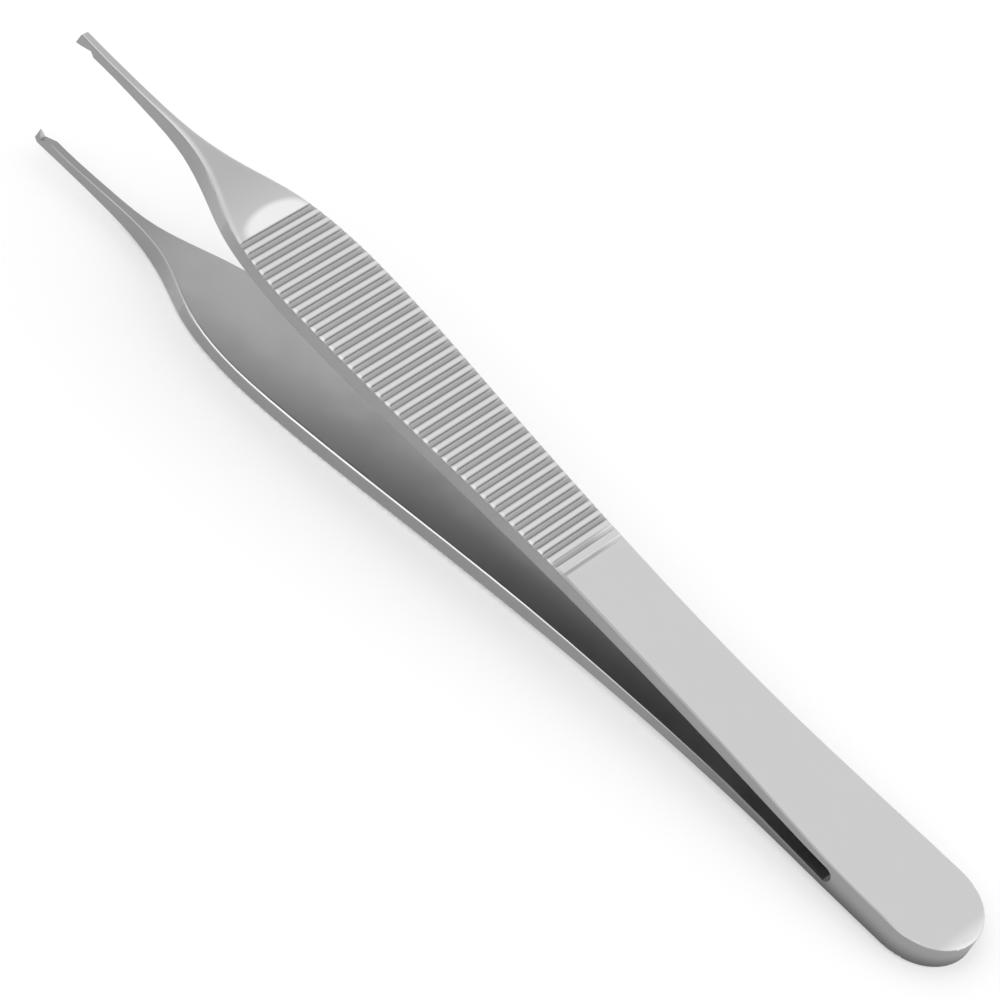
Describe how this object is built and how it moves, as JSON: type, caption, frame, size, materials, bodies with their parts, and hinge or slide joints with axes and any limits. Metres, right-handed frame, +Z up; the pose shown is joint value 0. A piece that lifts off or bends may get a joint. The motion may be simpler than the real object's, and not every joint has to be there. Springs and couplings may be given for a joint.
{
  "type": "tissue forceps",
  "caption": "Spring tissue forceps: flat arms joined at the heel, wide ridged thumb grips and fine tips with interlocking teeth.",
  "frame": {"origin": "on the table under the middle of the forceps, where it lies on the lower arm", "axes": "+X from the heel to the tips, +Y across the arms, +Z up, from the lower arm to the upper"},
  "size_m": [0.1196, 0.0126, 0.0161],
  "materials": {
    "satin_steel": "satin"
  },
  "bodies": {
    "root": {"upper_arm": "satin_steel", "lower_arm": "satin_steel"}
  },
  "joints": []
}
